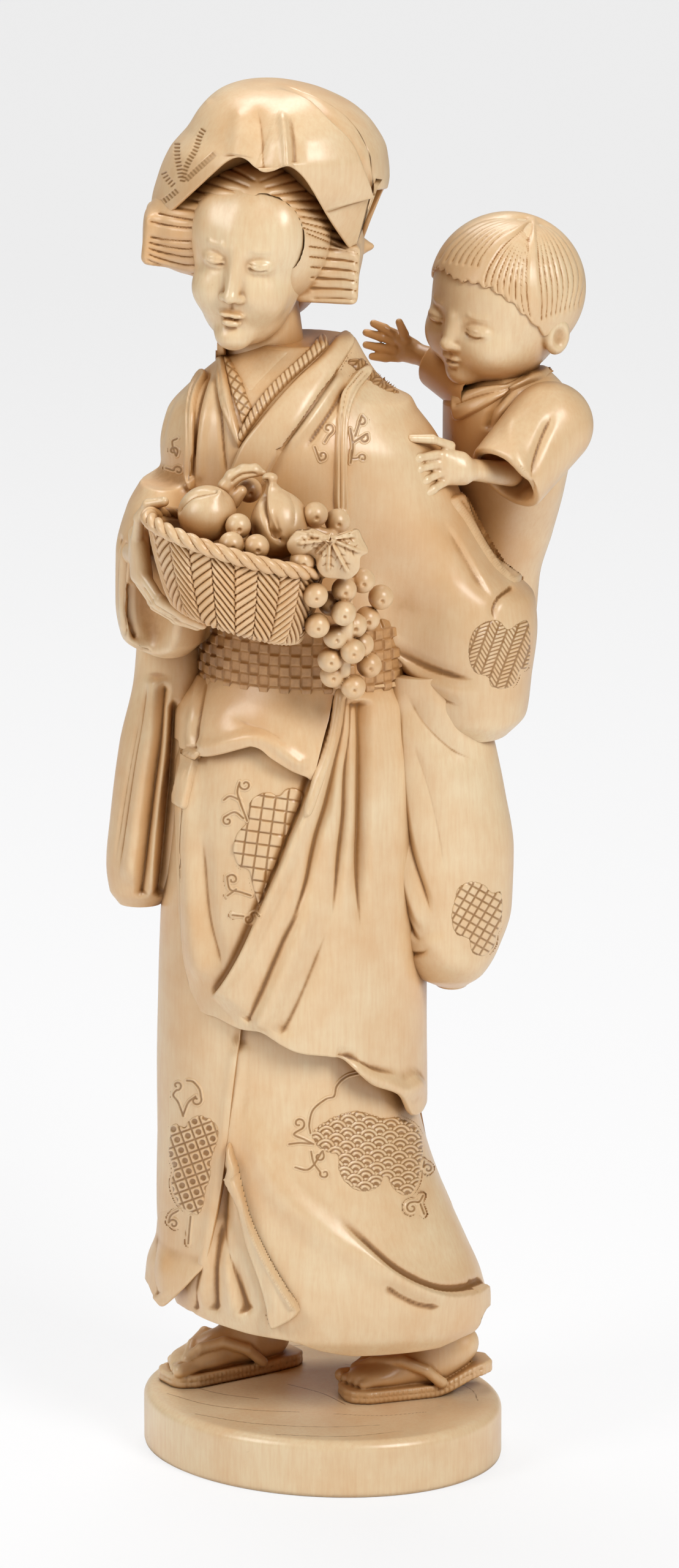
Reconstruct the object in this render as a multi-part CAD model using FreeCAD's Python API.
import FreeCAD, Part
import math
import os

# Standing figure of carved ivory, about 240 mm tall: a woman in a kimono and a folded headscarf,
# with a basket of fruit in her hands and a child on her back, on an oval plinth.
# The figure is put together from separately carved blocks, seated on each other and held by pegs.
#
# Frame: millimetres, +Z up, the origin at the centre of the plinth's underside.
# The viewer stands on the -Y side, and +X is to the viewer's right.
# Left and right in the names are the woman's own: her right arm is on the viewer's left.

Vec = FreeCAD.Vector

# Plinth
plinth_length = 64.4
plinth_width = 54.8
plinth_height = 10.0
plinth_edge_radius = 1.8
plinth_turn_deg = -29.0

# Robe: half sizes at its widest, and the height from hem to collar
robe_half_width = 30.0
robe_half_depth = 20.0
robe_height = 175.0

# Feet and sandals: foot_rise is from the plinth's top to the robe's underside
foot_rise = 12.5
sole_length = 27.0
sole_width = 10.4
sole_thickness = 2.3
sole_heel_lift = 3.0
foot_width = 8.0
instep_height = 7.6
ankle_width = 9.6

# Neck and head
neck_radius = 6.6
neck_tenon_depth = 9.0
face_width = 18.6
face_depth = 21.0
face_height = 28.5
hair_width = 36.0
hair_height = 23.0
scarf_width = 40.0
scarf_depth = 40.0
scarf_height = 31.0

# Basket and fruit
basket_length = 30.6
basket_width = 21.6
basket_height = 14.0
basket_lean_deg = 17.0
basket_recess = 1.2
rim_height = 2.2
rim_thickness = 1.3
peach_diameter = 9.8
fig_diameter = 9.8
fig_stem_length = 4.6
berry_diameter = 4.4
grape_diameter = 4.5
leaf_length = 14.0
leaf_thickness = 1.2
tendril_thickness = 1.5

# Sleeves
right_sleeve_height = 76.0
right_sleeve_width = 21.0
right_sleeve_depth = 28.0
left_sleeve_height = 104.0
left_sleeve_width = 31.0
left_sleeve_depth = 27.0
forearm_diameter = 12.0

# Hands of the woman and of the child
hand_length = 17.0
hand_width = 8.0
hand_thickness = 3.4
child_hand_length = 13.5
child_hand_width = 6.4
child_hand_thickness = 3.0

# Child
child_body_height = 54.0
child_body_width = 34.0
child_body_depth = 28.0
child_head_width = 26.6
child_head_depth = 25.0
child_head_height = 28.6
child_neck_radius = 5.0
child_neck_depth = 5.0
child_arm_diameter = 11.0
child_raised_arm_diameter = 8.0
ear_height = 5.6
ear_thickness = 2.2

# Pegs
peg_diameter = 3.0
peg_bite = 7.0
peg_play = 0.05

# One overrun serves all cuts
cut_overrun = 1.0

plinth_top = plinth_height
hem_level = plinth_top + foot_rise


# A place on the figure, in shares of the robe's half width, half depth and height.
def at(across_share, deep_share, level_share):
    return Vec(across_share * robe_half_width, deep_share * robe_half_depth,
               hem_level + level_share * robe_height)


# The corners of one closed ring: an ellipse about centre, cut into equal turns.
# The directions give half the ellipse's length each. Ring corners stand a little out,
# so that the faceted skin has the girth of the round one.
def ring(centre, half_long, half_short, sides):
    swell = 0.5 + 0.5 / math.cos(math.pi / sides)
    corners = []
    for step in range(sides):
        turn = 2 * math.pi * (step + 0.5) / sides
        corners.append(centre + half_long * (swell * math.cos(turn))
                       + half_short * (swell * math.sin(turn)))
    return corners


# A carved form: flat facets between rings that follow one another, closed by a flat at each end.
def carve(rings):
    facets = [flat_facet(*rings[0]), flat_facet(*rings[-1])]
    for lower, upper in zip(rings, rings[1:]):
        for corner in range(len(lower)):
            after = (corner + 1) % len(lower)
            a, b, c, d = lower[corner], lower[after], upper[after], upper[corner]
            if a.distanceToPoint(c) < b.distanceToPoint(d):
                facets += [flat_facet(a, b, c), flat_facet(a, c, d)]
            else:
                facets += [flat_facet(a, b, d), flat_facet(b, c, d)]
    solid = Part.Solid(Part.makeShell(facets))
    return solid.reversed() if solid.Volume < 0 else solid


def flat_facet(*corners):
    return Part.Face(Part.makePolygon(list(corners) + [corners[0]]))


# An upright form. Each row of shares gives the level, then how far the ring reaches to the left,
# right, front and back, and the slope of the ring, as its fall from left to right per unit length.
def upright(rows_share, origin, width, depth, height, sides):
    rings = []
    for level, left, right, front, back, fall in rows_share:
        centre = origin + Vec((left + right) / 2 * width, (front + back) / 2 * depth, level * height)
        half_across = Vec((right - left) / 2 * width, 0, -fall * (right - left) / 2 * width)
        half_deep = Vec(0, (back - front) / 2 * depth, 0)
        rings.append(ring(centre, half_across, half_deep, sides))
    return carve(rings)


# A limb along a line of points: at each point the ring stands square to the line.
# Girths are pairs of half sizes, along and across the direction that flat names.
def limb(points, girths, flat, sides):
    rings = []
    for index, point in enumerate(points):
        before = points[max(index - 1, 0)]
        after = points[min(index + 1, len(points) - 1)]
        along = (after - before).normalize()
        across = along.cross(flat).normalize()
        thick = across.cross(along).normalize()
        wide, deep = girths[index]
        rings.append(ring(point, across * wide, thick * deep, sides))
    return carve(rings)


# A round thing, turned from a half circle and pushed to the given half sizes.
bead_rows_share = [(-1.0, 0.32), (-0.68, 0.76), (0, 1.03), (0.68, 0.76), (1.0, 0.32)]


def bead(centre, half_across, half_deep, half_tall, sides):
    return carve([ring(centre + half_tall * level, half_across * girth, half_deep * girth, sides)
                  for level, girth in bead_rows_share])


def round_bead(centre, diameter, sides):
    half = diameter / 2
    return bead(centre, Vec(half, 0, 0), Vec(0, half, 0), Vec(0, 0, half), sides)


# What is left of a piece once its neighbours are taken away. Chips under this share of it are dropped.
chip_share = 0.02


def fit_to(piece, *neighbours):
    for neighbour in neighbours:
        piece = piece.cut(neighbour)
    kept = [solid for solid in piece.Solids if solid.Volume > chip_share * piece.Volume]
    return kept[0] if len(kept) == 1 else Part.makeCompound(kept)


def fused(first, *others):
    return first.multiFuse(list(others))


# A round rod between two points.
rod_sides = 12


def rod(start, end, radius):
    along = (end - start).normalize()
    flat = Vec(0, 1, 0) if abs(along.y) < 0.5 else Vec(1, 0, 0)
    across = along.cross(flat).normalize()
    return carve([ring(point, across * radius, across.cross(along) * radius, rod_sides) for point in (start, end)])


def peg(start, end, play):
    return rod(start, end, peg_diameter / 2 + play)


# The hole for a peg: a little wider and a little longer.
def peg_hole(start, end):
    reach = (end - start).normalize() * peg_play
    return peg(start - reach, end + reach, peg_play)


# Plinth: an oval block with a softly rounded upper edge, worked out from a quarter circle.
plinth_sides = 40
edge_steps = 3


def make_plinth():
    turn = math.radians(plinth_turn_deg)
    along, across = Vec(math.cos(turn), math.sin(turn), 0), Vec(-math.sin(turn), math.cos(turn), 0)
    levels = [(0, 0)]
    for step in range(edge_steps + 1):
        angle = math.pi / 2 * step / edge_steps
        levels.append((plinth_height - plinth_edge_radius * (1 - math.sin(angle)),
                       plinth_edge_radius * (1 - math.cos(angle))))
    return carve([ring(Vec(0, 0, level), along * (plinth_length / 2 - inset),
                       across * (plinth_width / 2 - inset), plinth_sides) for level, inset in levels])


# Robe: skirt, over-drape, hip fold, obi and bodice, each standing a little proud of the one below.
# Rows: level, left, right, front, back, fall.
robe_sides = 22
skirt_rows_share = [
    (0.000, -0.800, 0.930, -0.93, 0.95, 0),
    (0.018, -0.835, 0.960, -1.02, 1.02, 0),
    (0.049, -0.900, 0.925, -1.05, 1.01, 0),
    (0.089, -0.945, 0.830, -1.03, 0.96, 0),
    (0.134, -0.955, 0.715, -0.98, 0.93, 0),
    (0.186, -0.950, 0.600, -0.93, 0.90, 0),
    (0.237, -0.940, 0.540, -0.88, 0.88, 0),
    (0.294, -0.930, 0.520, -0.85, 0.86, 0),
    (0.380, -0.900, 0.500, -0.84, 0.84, 0),
    (0.430, -0.820, 0.450, -0.75, 0.76, 0)]
drape_rows_share = [
    (0.298, -0.820, 0.500, -0.88, 0.84, 0.60),
    (0.308, -0.890, 0.565, -1.01, 0.90, 0.60),
    (0.332, -0.935, 0.610, -1.05, 0.93, 0.54),
    (0.392, -0.930, 0.635, -1.05, 0.94, 0.34),
    (0.471, -0.905, 0.625, -1.02, 0.93, 0.16),
    (0.569, -0.855, 0.620, -0.98, 0.92, 0.07),
    (0.637, -0.760, 0.600, -0.88, 0.88, 0),
    (0.677, -0.690, 0.570, -0.82, 0.85, 0)]
hip_fold_rows_share = [
    (0.586, -0.770, 0.560, -0.92, 0.88, 0.06),
    (0.594, -0.845, 0.620, -1.06, 0.94, 0.06),
    (0.622, -0.840, 0.625, -1.03, 0.94, 0.04),
    (0.669, -0.700, 0.580, -0.86, 0.87, 0)]
obi_rows_share = [
    (0.660, -0.690, 0.560, -0.84, 0.90, 0),
    (0.667, -0.715, 0.585, -0.88, 0.94, 0),
    (0.723, -0.700, 0.575, -0.87, 0.93, 0),
    (0.731, -0.680, 0.550, -0.83, 0.89, 0)]
bodice_rows_share = [
    (0.700, -0.660, 0.530, -0.80, 0.84, 0),
    (0.763, -0.740, 0.570, -0.84, 0.88, 0),
    (0.831, -0.870, 0.640, -0.87, 0.90, 0),
    (0.889, -0.910, 0.615, -0.86, 0.86, 0),
    (0.923, -0.870, 0.500, -0.79, 0.76, 0),
    (0.949, -0.740, 0.350, -0.68, 0.66, 0),
    (0.972, -0.580, 0.255, -0.52, 0.56, 0),
    (0.992, -0.460, 0.190, -0.38, 0.46, 0)]
# The front panel that flares out at the viewer's left: its outline, seen from the front.
panel_outline_share = [(-0.48, 0.245), (-0.55, 0.160), (-0.62, 0.110), (-0.80, 0.062),
                       (-0.92, 0.046), (-1.01, 0.056), (-1.03, 0.075), (-0.98, 0.110), (-0.98, 0.245)]
panel_swell = 1.04
# The collar's line from nape to crossing, once for each side, with its half width.
collar_sides = 8
collar_half_width = 3.4
collar_half_thickness = 1.3
collar_left_share = [(0.05, 0.46, 0.985), (0.165, 0.20, 0.985), (0.14, -0.20, 0.968), (-0.02, -0.56, 0.945),
                     (-0.22, -0.76, 0.915), (-0.40, -0.84, 0.875)]
collar_right_share = [(-0.22, 0.50, 0.985), (-0.44, 0.28, 0.982), (-0.55, -0.06, 0.968), (-0.56, -0.40, 0.945),
                      (-0.48, -0.66, 0.915), (-0.42, -0.76, 0.890)]
# Folds that stand out from the cloth: half width and half thickness, then the line of each, as its
# place across and its level. The gathered edge of the over-drape runs from the hip to the loop at the left.
gather_half_width = 3.2
gather_half_thickness = 1.4
fold_sides = 6
pleat_half_width = 2.0
pleat_half_thickness = 1.5
drape_gather_share = [(0.12, 0.654), (-0.05, 0.574), (-0.27, 0.497), (-0.46, 0.420), (-0.63, 0.374),
                      (-0.78, 0.366)]
drape_pleats_share = [
    [(0.17, 0.650), (0.16, 0.566), (0.10, 0.474), (-0.02, 0.382), (-0.15, 0.328)],
    [(0.28, 0.650), (0.30, 0.564), (0.31, 0.473), (0.28, 0.381), (0.22, 0.296)],
    [(-0.62, 0.640), (-0.70, 0.560), (-0.70, 0.480), (-0.64, 0.410)]]
skirt_pleats_share = [
    [(-0.42, 0.262), (-0.33, 0.198), (-0.19, 0.161), (0.02, 0.130), (0.26, 0.102), (0.56, 0.073),
     (0.80, 0.072)],
    [(-0.50, 0.225), (-0.45, 0.163), (-0.37, 0.119), (-0.25, 0.081), (-0.14, 0.050)]]


# A value between rows that are in order of their first entry.
def between(rows, place):
    for (low, *lower), (high, *upper) in zip(rows, rows[1:]):
        if place <= high:
            share = max(0, (place - low) / (high - low))
            return [a + share * (b - a) for a, b in zip(lower, upper)]
    return rows[-1][1:]


# The place on the front of a robe form that lies at the given place across and at the given level.
def on_front(rows_share, across_share, level_share):
    rows = [(level - fall * (across_share - (left + right) / 2) * robe_half_width / robe_height,
             left, right, front, back) for level, left, right, front, back, fall in rows_share]
    left, right, front, back = between(rows, level_share)
    aside = (2 * across_share - left - right) / (right - left)
    bulge = math.sqrt(max(0, 1 - aside ** 2))
    return at(across_share, (front + back) / 2 - (back - front) / 2 * bulge, level_share)


# A fold along a line on a form, flat against the form's front.
def fold_on(rows_share, line_share, half_width, half_thickness):
    points = [on_front(rows_share, *place) for place in line_share]
    middle = at(0, 0, sum(level for across, level in line_share) / len(line_share))
    outward = points[len(points) // 2] - middle
    flat = Vec(outward.x, outward.y, 0)
    return limb(points, [(half_width, half_thickness)] * len(points), flat, fold_sides)


def make_robe():
    sizes = (at(0, 0, 0), robe_half_width, robe_half_depth, robe_height, robe_sides)
    parts = [upright(rows, *sizes) for rows in
             (drape_rows_share, hip_fold_rows_share, obi_rows_share, bodice_rows_share)]
    skirt = upright(skirt_rows_share, *sizes)
    swollen = upright(skirt_rows_share, at(0, 0, 0), robe_half_width * panel_swell,
                      robe_half_depth * panel_swell, robe_height, robe_sides)
    outline = [at(across, 0, level) for across, level in panel_outline_share]
    panel = Part.Face(Part.makePolygon(outline + outline[:1])).extrude(Vec(0, -2 * robe_half_depth, 0))
    parts.append(panel.common(swollen))
    for line_share in (collar_left_share, collar_right_share):
        points = [at(*place) for place in line_share]
        girths = [(collar_half_width, collar_half_thickness)] * len(points)
        parts.append(limb(points, girths, points[0] - at(-0.3, -2, 0.6), collar_sides))
    parts.append(fold_on(drape_rows_share, drape_gather_share, gather_half_width, gather_half_thickness))
    parts += [fold_on(drape_rows_share, line_share, pleat_half_width, pleat_half_thickness)
              for line_share in drape_pleats_share]
    parts += [fold_on(skirt_rows_share, line_share, pleat_half_width, pleat_half_thickness)
              for line_share in skirt_pleats_share]
    return fused(skirt, *parts)


# Feet: a sandal sole with a foot on it and an ankle that meets the robe's underside.
foot_sides = 10
# Rows along the foot from toe to heel: place along the sole, half width, height of the back of the foot.
foot_rows_share = [(-0.44, 0.66, 0.36), (-0.34, 0.95, 0.50), (-0.12, 1.00, 0.72), (0.08, 0.90, 0.95),
                   (0.28, 0.80, 1.00), (0.42, 0.50, 0.80)]
sole_rows_share = [(-0.50, 0.42), (-0.46, 0.78), (-0.36, 1.00), (-0.05, 0.94), (0.25, 0.86), (0.42, 0.74),
                   (0.50, 0.40)]
# How high the sole has risen, from toe to heel, as a share of the heel's lift.
sole_lift_share = [0, 0, 0, 0, 0.25, 0.8, 1.0]
ankle_place_share = 0.20


def make_foot(middle, turn_deg, heel_lift):
    heading = Vec(math.cos(math.radians(turn_deg)), math.sin(math.radians(turn_deg)), 0)
    across = Vec(-heading.y, heading.x, 0)
    rings = []
    for (along, width), lift in zip(sole_rows_share, sole_lift_share):
        centre = middle + heading * (along * sole_length) + Vec(0, 0, lift * heel_lift)
        side = across * (width * sole_width / 2)
        up = Vec(0, 0, sole_thickness)
        rings.append([centre - side, centre + side, centre + side + up, centre - side + up])
    sole = carve(rings)
    top = Vec(0, 0, sole_thickness)
    rings = []
    for along, width, tall in foot_rows_share:
        rise = tall * instep_height / 2
        centre = middle + heading * (along * sole_length) + top + Vec(0, 0, rise / 2)
        rings.append(ring(centre, across * (width * foot_width / 2), Vec(0, 0, rise), foot_sides))
    foot = carve(rings)
    ankle_centre = middle + heading * (ankle_place_share * sole_length)
    ankle_rings = []
    for level in (sole_thickness, foot_rise):
        half = ankle_width / 2
        ankle_rings.append(ring(ankle_centre + Vec(0, 0, level), heading * half, across * half, foot_sides))
    return fused(sole, foot, carve(ankle_rings)), ankle_centre


# Sleeves: the cloth round the forearm, and the long bag that hangs from it.
sleeve_sides = 16
right_sleeve_origin_share = (-0.90, -0.20, 0.430)
right_cuff_rows_share = [
    (0.600, -0.12, 0.24, -0.25, 0.25, 0),
    (0.640, -0.33, 0.35, -0.45, 0.36, 0),
    (0.720, -0.375, 0.38, -0.53, 0.39, 0),
    (0.830, -0.37, 0.38, -0.53, 0.39, 0),
    (0.930, -0.28, 0.34, -0.44, 0.36, 0),
    (0.985, -0.17, 0.24, -0.30, 0.28, 0)]
right_bag_rows_share = [
    (0.000, -0.38, -0.02, 0.06, 0.30, 0),
    (0.030, -0.45, 0.12, 0.00, 0.36, 0),
    (0.090, -0.475, 0.30, -0.05, 0.41, 0),
    (0.200, -0.44, 0.40, -0.07, 0.43, 0),
    (0.370, -0.36, 0.42, -0.07, 0.43, 0),
    (0.520, -0.24, 0.42, -0.04, 0.42, 0),
    (0.660, -0.20, 0.38, 0.00, 0.40, 0)]
left_sleeve_origin_share = (0.72, 0, 0.3525)
left_arm_rows_share = [
    (0.425, -0.02, 0.33, -0.36, 0.34, 0),
    (0.460, -0.20, 0.43, -0.48, 0.43, 0),
    (0.520, -0.32, 0.455, -0.51, 0.47, 0),
    (0.600, -0.36, 0.485, -0.51, 0.49, 0),
    (0.650, -0.37, 0.470, -0.49, 0.49, 0),
    (0.705, -0.40, 0.270, -0.47, 0.49, 0),
    (0.790, -0.43, 0.095, -0.44, 0.47, 0),
    (0.895, -0.48, -0.100, -0.34, 0.41, 0),
    (0.960, -0.50, -0.270, -0.18, 0.30, 0)]
left_bag_rows_share = [
    (0.000, -0.07, 0.11, -0.22, 0.05, 0),
    (0.022, -0.20, 0.20, -0.36, 0.14, 0),
    (0.065, -0.32, 0.28, -0.44, 0.20, 0),
    (0.135, -0.40, 0.35, -0.47, 0.23, 0),
    (0.230, -0.44, 0.36, -0.49, 0.25, 0),
    (0.330, -0.455, 0.31, -0.50, 0.25, 0),
    (0.430, -0.455, 0.24, -0.50, 0.25, 0),
    (0.540, -0.44, 0.15, -0.49, 0.24, 0)]
# Her left forearm bends behind her back and carries the child.
forearm_line_share = [(0.98, 0.22, 0.715), (0.88, 0.75, 0.700), (0.62, 1.05, 0.690), (0.40, 1.16, 0.687)]


def make_right_sleeve(robe):
    sizes = (at(*right_sleeve_origin_share), right_sleeve_width, right_sleeve_depth,
             right_sleeve_height, sleeve_sides)
    cuff = upright(right_cuff_rows_share, *sizes)
    bag = upright(right_bag_rows_share, *sizes)
    return fit_to(fused(cuff, bag), robe)


def make_left_sleeve(robe):
    sizes = (at(*left_sleeve_origin_share), left_sleeve_width, left_sleeve_depth,
             left_sleeve_height, sleeve_sides)
    arm = upright(left_arm_rows_share, *sizes)
    bag = upright(left_bag_rows_share, *sizes)
    points = [at(*place) for place in forearm_line_share]
    half = forearm_diameter / 2
    forearm = limb(points, [(half, half)] * len(points), Vec(0, 0, 1), sleeve_sides)
    return fit_to(fused(arm, bag, forearm), robe)


# Head: face, hair and headscarf over a neck that ends in a tenon.
head_sides = 24
neck_share = (-0.300, 0.06, 1.000)
face_share = (-0.375, -0.26, 1.072)
face_rows_share = [(-0.50, 0.30), (-0.46, 0.52), (-0.36, 0.78), (-0.18, 0.96), (0.02, 1.0), (0.22, 0.95),
                   (0.42, 0.76)]
hair_origin_share = (-0.39, 0.12, 1.010)
hair_rows_share = [
    (0.30, -0.46, 0.44, -0.19, 0.28, 0.13),
    (0.36, -0.50, 0.480, -0.23, 0.32, 0.13),
    (0.62, -0.50, 0.485, -0.25, 0.34, 0.06),
    (1.00, -0.32, 0.38, -0.36, 0.36, 0)]
nape_centre_share = (-0.34, 0.48, 1.062)
nape_size_share = (0.50, 0.36, 0.74)
scarf_origin_share = (-0.290, 0.10, 1.065)
scarf_rows_share = [
    (0.000, -0.48, 0.42, -0.10, 0.46, 0),
    (0.150, -0.500, 0.44, -0.36, 0.49, 0),
    (0.320, -0.495, 0.475, -0.44, 0.51, 0),
    (0.480, -0.465, 0.500, -0.50, 0.51, 0),
    (0.620, -0.420, 0.490, -0.51, 0.49, 0),
    (0.740, -0.335, 0.430, -0.47, 0.45, 0),
    (0.840, -0.290, 0.360, -0.40, 0.38, 0),
    (0.930, -0.220, 0.220, -0.30, 0.27, 0),
    (0.985, -0.130, 0.060, -0.18, 0.12, 0)]
# The brim's line, seen from the front: below it the face and the hair are open to view.
brim_line_share = [(-0.62, 0.00), (-0.54, 0.20), (-0.40, 0.34), (-0.20, 0.52), (-0.04, 0.62), (0.10, 0.52),
                   (0.24, 0.30), (0.38, 0.06), (0.60, -0.10), (0.60, -0.40), (-0.62, -0.40)]
brim_depth_share = -0.08


def neck_plug(play):
    bottom = at(*neck_share) - Vec(0, 0, neck_tenon_depth + play)
    return rod(bottom, at(*neck_share) + Vec(0, 0, cut_overrun), neck_radius + play)


def make_head():
    neck_bottom = at(*neck_share)
    face_centre = at(*face_share)
    neck = rod(neck_bottom, face_centre, neck_radius)
    face = carve([ring(face_centre + Vec(0, 0, level * face_height),
                       Vec(girth * face_width / 2, 0, 0), Vec(0, girth * face_depth / 2, 0), head_sides)
                  for level, girth in face_rows_share])
    hair = upright(hair_rows_share, at(*hair_origin_share), hair_width, scarf_depth, hair_height, head_sides)
    nape_width, nape_depth, nape_height = nape_size_share
    nape = bead(at(*nape_centre_share), Vec(nape_width * hair_width / 2, 0, 0),
                Vec(0, nape_depth * scarf_depth / 2, 0), Vec(0, 0, nape_height * hair_height / 2), head_sides)
    scarf_origin = at(*scarf_origin_share)
    scarf = upright(scarf_rows_share, scarf_origin, scarf_width, scarf_depth, scarf_height, head_sides)
    brim = [scarf_origin + Vec(across * scarf_width, brim_depth_share * scarf_depth, level * scarf_height)
            for across, level in brim_line_share]
    opening = Part.Face(Part.makePolygon(brim + brim[:1])).extrude(Vec(0, -scarf_depth, 0))
    return fused(scarf.cut(opening), face, hair, nape, neck)


# Basket: an oval tub whose rim falls to the viewer's right, with a rope rim and a shallow recess.
basket_sides = 24
basket_middle_share = (-0.475, -1.42, 0.747)
basket_rows_share = [(0.00, 0.66), (0.05, 0.74), (0.35, 0.86), (0.70, 0.95), (1.00, 1.00)]


def basket_axes():
    lean = math.radians(basket_lean_deg)
    return Vec(math.cos(lean), 0, -math.sin(lean)), Vec(0, 1, 0), Vec(0, 0, 1)


# A place on the basket, in shares of its length, width and height, from the middle of its bottom.
def on_basket(along_share, across_share, up_share):
    along, across, up = basket_axes()
    return (at(*basket_middle_share) + along * (along_share * basket_length)
            + across * (across_share * basket_width) + up * (up_share * basket_height))


def basket_ring(height, girth, extra):
    along, across, up = basket_axes()
    centre = at(*basket_middle_share) + up * height
    return ring(centre, along * (girth * basket_length / 2 + extra),
                across * (girth * basket_width / 2 + extra), basket_sides)


def make_basket(robe, sleeve):
    tub = carve([basket_ring(level * basket_height, girth, 0) for level, girth in basket_rows_share])
    rim = carve([basket_ring(basket_height - rim_height, 1, 0),
                 basket_ring(basket_height - rim_height * 0.75, 1, rim_thickness * 0.7),
                 basket_ring(basket_height - rim_height * 0.25, 1, rim_thickness * 0.7),
                 basket_ring(basket_height, 1, 0)])
    recess = carve([basket_ring(basket_height - basket_recess, 1, -2 * rim_thickness),
                    basket_ring(basket_height + cut_overrun, 1, -rim_thickness)])
    return fit_to(fused(tub, rim).cut(recess), robe, sleeve)


# Fruit in the basket. Places are shares on the basket: along, across, up.
fruit_sides = 12
peach_share = (-0.16, 0.06, 1.23)
fig_share = (0.25, 0.06, 1.40)
fig_tallness_share = 1.35
berries_share = [(0.03, -0.17, 1.26), (-0.01, -0.31, 1.10), (0.12, -0.31, 1.12), (0.06, 0.20, 1.42),
                 (0.04, 0.10, 1.12), (-0.30, -0.20, 1.04), (0.38, -0.24, 1.12), (0.43, 0.02, 1.16),
                 (0.30, -0.26, 1.10)]
grapes_share = [
    (0.48, 0.02, 1.58), (0.58, 0.10, 1.56), (0.48, -0.26, 0.77), (0.61, -0.07, 0.83), (0.71, 0.06, 1.00),
    (0.80, 0.16, 0.87), (0.62, -0.17, 0.61), (0.49, -0.17, 0.36), (0.59, -0.03, 0.28), (0.70, 0.06, 0.45),
    (0.66, -0.03, 0.15), (0.54, 0.02, -0.05), (0.75, 0.14, -0.05), (0.58, 0.08, -0.27), (0.66, 0.10, -0.44)]
stalk_line_share = [(0.40, 0.02, 1.42), (0.54, 0.04, 1.42), (0.63, -0.02, 0.95), (0.63, -0.04, 0.40),
                    (0.62, 0.07, -0.30)]
grape_sides = 6
leaf_centre_share = (0.50, -0.34, 1.36)
leaf_rows_share = [(-0.50, 0.20), (-0.36, 0.62), (-0.18, 0.92), (0.06, 1.00), (0.26, 0.70), (0.50, 0.12)]
tendril_line_share = [(-0.01, 0.20, 1.36), (0.00, 0.16, 1.66), (0.09, 0.14, 1.80), (0.18, 0.12, 1.88)]


def make_fig(basket):
    centre = on_basket(*fig_share)
    half = fig_diameter / 2
    body = bead(centre, Vec(half, 0, 0), Vec(0, half, 0), Vec(0, 0, half * fig_tallness_share), fruit_sides)
    stem_base = centre + Vec(-half * 0.2, 0, half)
    stem_tip = stem_base + Vec(-half * 0.3, 0, fig_stem_length)
    thick, thin = fig_diameter * 0.22, fig_diameter * 0.10
    stem = limb([stem_base, stem_tip], [(thick, thick), (thin, thin)], Vec(0, 1, 0), grape_sides)
    return fit_to(fused(body, stem), basket)


def make_berries(*neighbours):
    beads = [round_bead(on_basket(*place), berry_diameter, grape_sides) for place in berries_share]
    return fit_to(fused(*beads), *neighbours)


def make_grapes(*neighbours):
    beads = [round_bead(on_basket(*place), grape_diameter, grape_sides) for place in grapes_share]
    stalk_points = [on_basket(*place) for place in stalk_line_share]
    half = grape_diameter / 4
    stalk = limb(stalk_points, [(half, half)] * len(stalk_points), Vec(0, 1, 0), grape_sides)
    return fit_to(fused(stalk, *beads), *neighbours)


def make_vine_leaf(*neighbours):
    along, across, up = basket_axes()
    centre = on_basket(*leaf_centre_share)
    down = (up * -0.80 - across * 0.50 + along * 0.15).normalize()
    side = down.cross(Vec(0, -1, 0.3)).normalize()
    out = side.cross(down).normalize()
    rings = [ring(centre + down * (place * leaf_length), side * (girth * leaf_length / 2),
                  out * (leaf_thickness / 2), grape_sides) for place, girth in leaf_rows_share]
    return fit_to(carve(rings), *neighbours)


def make_tendril(*neighbours):
    points = [on_basket(*place) for place in tendril_line_share]
    half = tendril_thickness / 2
    girths = [(half * 2, half), (half * 1.8, half), (half * 1.4, half), (half * 0.6, half * 0.6)]
    return fit_to(limb(points, girths, Vec(0, 0, 1), grape_sides), *neighbours)


# Hands: a flat palm, four fingers and a thumb, with a round wrist that enters the sleeve.
finger_sides = 5
finger_spread_share = [-0.38, -0.13, 0.13, 0.38]
finger_reach_share = [0.88, 1.00, 0.97, 0.82]


def make_hand(wrist, fingertip, palm_side, length, width, thick, thumb_side, curl):
    along = (fingertip - wrist).normalize()
    side = along.cross(palm_side).normalize()
    face = side.cross(along).normalize()

    def spot(out, across, down):
        return wrist + along * (out * length) + side * (across * width) + face * (down * thick)

    palm = limb([spot(-0.30, 0, 0), spot(0.05, 0, 0), spot(0.30, 0, 0), spot(0.52, 0, 0)],
                [(width * 0.26, thick * 0.5), (width * 0.30, thick * 0.5), (width * 0.50, thick * 0.5),
                 (width * 0.50, thick * 0.36)], face, 10)
    fingers = []
    for across, reach in zip(finger_spread_share, finger_reach_share):
        line = [spot(0.45, across, 0), spot((0.45 + reach) / 2, across * 1.15, curl * 0.3),
                spot(reach, across * 1.2, curl)]
        girths = [(width * 0.135, thick * 0.32), (width * 0.13, thick * 0.30), (width * 0.08, thick * 0.2)]
        fingers.append(limb(line, girths, face, finger_sides))
    line = [spot(0.12, thumb_side * 0.3, 0), spot(0.34, thumb_side * 0.72, 0.1), spot(0.56, thumb_side * 0.86, 0.2)]
    girths = [(width * 0.16, thick * 0.38), (width * 0.15, thick * 0.34), (width * 0.09, thick * 0.22)]
    thumb = limb(line, girths, face, finger_sides)
    return fused(palm, thumb, *fingers)


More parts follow.
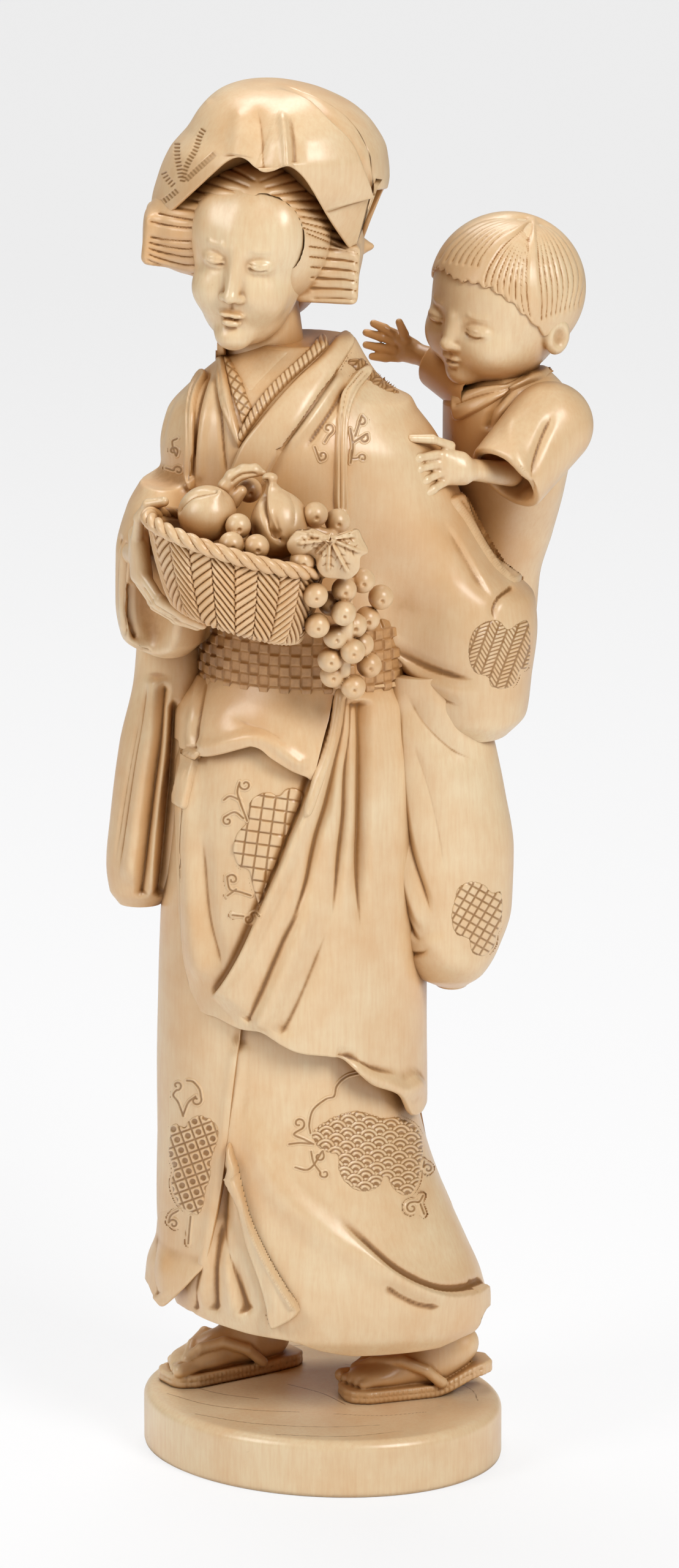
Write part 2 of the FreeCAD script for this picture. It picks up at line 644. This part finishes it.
# Child: robe with two short sleeves, and a head on a round tenon. The child hangs from the woman's
# shoulders, so its collar keeps the place and the seat follows from the child's own height.
child_sides = 18
child_collar_share = (0.80, 1.02, 0.9456)
child_rows_share = [
    (0.000, -0.18, 0.18, -0.10, 0.16, 0),
    (0.050, -0.42, 0.30, -0.20, 0.30, 0),
    (0.170, -0.44, 0.38, -0.24, 0.38, 0),
    (0.310, -0.34, 0.40, -0.28, 0.40, 0),
    (0.450, -0.22, 0.46, -0.34, 0.36, 0),
    (0.620, -0.10, 0.52, -0.50, 0.28, 0),
    (0.780, -0.10, 0.555, -0.58, 0.16, 0),
    (0.900, -0.10, 0.560, -0.60, 0.06, 0),
    (0.960, -0.02, 0.500, -0.56, 0.00, 0),
    (1.000, 0.04, 0.440, -0.50, -0.06, 0)]
# Shares of the child's own width, depth and height, from the middle of the seat.
child_left_arm_share = [(0.353, -0.371, 0.868), (0.265, -0.657, 0.788), (0.150, -0.829, 0.742)]
child_right_arm_share = [(0.106, -0.286, 0.901), (-0.071, -0.157, 0.966), (-0.176, -0.071, 0.998)]
child_neck_share = (0.212, -0.286, 0.998)
child_head_share = (0.226, -0.257, 1.238)
child_head_rows_share = [(-0.50, 0.34), (-0.46, 0.56), (-0.34, 0.82), (-0.16, 0.97), (0.04, 1.00), (0.24, 0.92),
                         (0.40, 0.68), (0.48, 0.40), (0.50, 0.22)]


def child_seat():
    return at(*child_collar_share) - Vec(0, 0, child_body_height)


def on_child(across_share, deep_share, level_share):
    return child_seat() + Vec(across_share * child_body_width, deep_share * child_body_depth,
                              level_share * child_body_height)


def child_neck_plug(play):
    top = on_child(*child_neck_share)
    return rod(top - Vec(0, 0, child_neck_depth + play), top + Vec(0, 0, cut_overrun), child_neck_radius + play)


def make_child_body():
    trunk = upright(child_rows_share, child_seat(), child_body_width, child_body_depth,
                    child_body_height, child_sides)
    arms = []
    for line_share, diameter in ((child_left_arm_share, child_arm_diameter),
                                 (child_right_arm_share, child_raised_arm_diameter)):
        points = [on_child(*place) for place in line_share]
        arms.append(limb(points, [(diameter / 2, diameter / 2)] * len(points), Vec(0, 0, 1), foot_sides))
    return fused(trunk, *arms)


def make_child_head(body):
    centre = on_child(*child_head_share)
    skull = carve([ring(centre + Vec(0, 0, level * child_head_height),
                        Vec(girth * child_head_width / 2, 0, 0), Vec(0, girth * child_head_depth / 2, 0),
                        child_sides) for level, girth in child_head_rows_share])
    ear_centre = centre + Vec(child_head_width * 0.42, -child_head_depth * 0.14, -child_head_height * 0.20)
    ear = bead(ear_centre, Vec(ear_thickness, 0, 0), Vec(0, ear_height * 0.38, 0), Vec(0, 0, ear_height / 2),
               grape_sides)
    neck = rod(on_child(*child_neck_share), centre, child_neck_radius)
    return fused(fit_to(fused(skull, ear, neck), body), child_neck_plug(0))


# Placing the feet: middle of the sole on the plinth, heading from toe to heel.
right_foot_share = (-0.53, 0.50)
right_foot_turn_deg = 31.0
left_foot_share = (0.54, -0.04)
left_foot_turn_deg = 16.0

plinth = make_plinth()
robe = make_robe()
right_middle = Vec(right_foot_share[0] * robe_half_width, right_foot_share[1] * robe_half_depth, plinth_top)
left_middle = Vec(left_foot_share[0] * robe_half_width, left_foot_share[1] * robe_half_depth, plinth_top)
right_foot, right_ankle = make_foot(right_middle, right_foot_turn_deg, 0)
left_foot, left_ankle = make_foot(left_middle, left_foot_turn_deg, sole_heel_lift)
print("robe", len(robe.Solids), "solid, volume", round(robe.Volume))

# Pegs, from one block into the next.
foot_peg_lines = [(ankle - Vec(0, 0, plinth_height - peg_diameter), ankle + Vec(0, 0, foot_rise + peg_bite))
                  for ankle in (right_ankle, left_ankle)]
sleeve_peg_lines = [(at(-0.95, 0.10, 0.62), at(-0.95, 0.10, 0.62) + Vec(3 * peg_bite, 0, 0)),
                    (at(0.95, -0.10, 0.66), at(0.95, -0.10, 0.66) - Vec(4 * peg_bite, 0, 0))]
basket_peg_line = (on_basket(0, 0, 0.35), on_basket(0, 0, 0.35) + Vec(0, 3 * peg_bite, 0))
child_peg_line = (at(0.50, 1.15, 0.740), at(0.50, 1.15, 0.740) - Vec(0, 3 * peg_bite, 0))

right_sleeve = make_right_sleeve(robe)
left_sleeve = make_left_sleeve(robe)
head = fused(fit_to(make_head(), robe), neck_plug(0))
basket = make_basket(robe, right_sleeve)

# Her right hand holds the basket's end, her left hand lies under the child.
right_hand = make_hand(at(-1.03, -0.78, 0.800), at(-0.70, -1.55, 0.735), Vec(1, 0, 0.3), hand_length,
                       hand_width, hand_thickness, 1, 1.0)
left_hand = make_hand(at(0.40, 1.16, 0.687), at(-0.10, 1.22, 0.690), Vec(0, -0.2, 1), hand_length, hand_width,
                      hand_thickness, -1, 0.4)
right_hand = fit_to(right_hand, basket, right_sleeve, robe)
left_hand = fit_to(left_hand, left_sleeve, robe)

peach = fit_to(round_bead(on_basket(*peach_share), peach_diameter, fruit_sides), basket)
fig = fit_to(make_fig(basket), peach)
berry_cluster = make_berries(basket, peach, fig)
curled_leaf = make_tendril(basket, peach, fig, berry_cluster)
vine_leaf = make_vine_leaf(basket, fig, berry_cluster)
grape_bunch = make_grapes(basket, fig, berry_cluster, vine_leaf, robe)

child_body = fit_to(make_child_body(), robe, left_sleeve, left_hand)
child_head = make_child_head(child_body)
child_left_hand = make_hand(on_child(0.115, -0.871, 0.749), on_child(-0.318, -1.171, 0.762), Vec(0.4, 1, -0.3),
                            child_hand_length, child_hand_width, child_hand_thickness, -1, 0.4)
child_right_hand = make_hand(on_child(-0.176, -0.071, 1.001), on_child(-0.494, 0.014, 1.073), Vec(0, 1, 0),
                             child_hand_length, child_hand_width, child_hand_thickness, 1, -0.2)
child_left_hand = fit_to(child_left_hand, left_sleeve, robe, child_body)
child_right_hand = fit_to(child_right_hand, child_body, head)

# Sockets and peg holes.
robe = robe.cut(neck_plug(peg_play))
child_body = child_body.cut(child_neck_plug(peg_play))
for line in foot_peg_lines:
    plinth = plinth.cut(peg_hole(*line))
    right_foot = right_foot.cut(peg_hole(*line))
    left_foot = left_foot.cut(peg_hole(*line))
for line in foot_peg_lines + sleeve_peg_lines + [basket_peg_line, child_peg_line]:
    robe = robe.cut(peg_hole(*line))
for line in sleeve_peg_lines:
    right_sleeve = right_sleeve.cut(peg_hole(*line))
    left_sleeve = left_sleeve.cut(peg_hole(*line))
left_sleeve = left_sleeve.cut(peg_hole(*child_peg_line))
basket = basket.cut(peg_hole(*basket_peg_line))
child_body = child_body.cut(peg_hole(*child_peg_line))

nodes = {
    "plinth": plinth,
    "right_foot": right_foot,
    "left_foot": left_foot,
    "robe": robe,
    "right_sleeve": right_sleeve,
    "left_sleeve": left_sleeve,
    "head": head,
    "right_hand": right_hand,
    "left_hand": left_hand,
    "basket": basket,
    "peach": peach,
    "fig": fig,
    "berry_cluster": berry_cluster,
    "curled_leaf": curled_leaf,
    "vine_leaf": vine_leaf,
    "grape_bunch": grape_bunch,
    "child_body": child_body,
    "child_head": child_head,
    "child_left_hand": child_left_hand,
    "child_right_hand": child_right_hand,
    "foot_pegs": Part.makeCompound([peg(*line, 0) for line in foot_peg_lines]),
    "sleeve_pegs": Part.makeCompound([peg(*line, 0) for line in sleeve_peg_lines]),
    "basket_peg": peg(*basket_peg_line, 0),
    "child_peg": peg(*child_peg_line, 0)}

os.makedirs("parts", exist_ok=True)
for name, shape in nodes.items():
    shape.exportStep("parts/" + name + ".step")
    box = shape.BoundBox
    print(f"{name:17s} solids {len(shape.Solids):2d}  valid {shape.isValid()}  volume {shape.Volume:9.1f}  "
          f"x {box.XMin:6.1f} {box.XMax:6.1f}  y {box.YMin:6.1f} {box.YMax:6.1f}  z {box.ZMin:6.1f} {box.ZMax:6.1f}")
